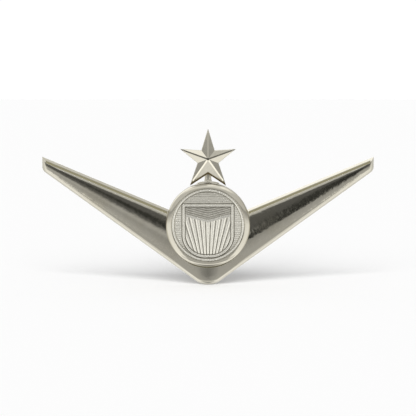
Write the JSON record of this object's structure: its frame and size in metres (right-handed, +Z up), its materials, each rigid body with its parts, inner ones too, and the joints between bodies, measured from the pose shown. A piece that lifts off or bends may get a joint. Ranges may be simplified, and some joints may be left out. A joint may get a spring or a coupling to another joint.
{
  "type": "pilot wings pin",
  "caption": "Polished metal pilot wings pin: swept V wings, a round medallion with a ribbed shield, a faceted star on a strut, and a hinged brooch pin-back.",
  "frame": {"origin": "centre of the medallion, on the flat back plane that lies against the cloth", "axes": "+X towards the wing on the right as seen from the front, +Y from the front into the cloth, +Z up towards the star"},
  "size_m": [0.0762, 0.0087, 0.0361],
  "materials": {
    "polished_nickel": "mirror-polished nickel plate",
    "struck_nickel": "die-struck relief, bright nickel plate",
    "plain_nickel": "unpolished nickel plate",
    "steel_wire": "drawn wire"
  },
  "bodies": {
    "badge": {"wings_body": "polished_nickel", "medallion_cup": "polished_nickel", "medallion_disc": "struck_nickel", "medallion_back_disc": "plain_nickel", "medallion_rivet_left": "plain_nickel", "medallion_rivet_right": "plain_nickel", "star": "polished_nickel", "star_strut": "polished_nickel", "star_saddle": "polished_nickel", "hinge_patch": "plain_nickel", "hinge_bracket": "plain_nickel", "hinge_rivet": "plain_nickel", "catch_patch": "plain_nickel", "catch_body": "plain_nickel"},
    "stem": {"pin_stem": "steel_wire"},
    "rotor": {"catch_rotor": "plain_nickel"}
  },
  "joints": [
    {"name": "stem_swing", "type": "hinge", "parent": "badge", "child": "stem", "pos_m": [-0.0162, 0.0026, 0.0026], "axis": [0, 0, 1], "range_deg": [0, 85]},
    {"name": "catch_turn", "type": "hinge", "parent": "badge", "child": "rotor", "pos_m": [0.016, 0.0026, 0.0026], "axis": [-1, 0, 0], "range_deg": [0, 120]}
  ]
}
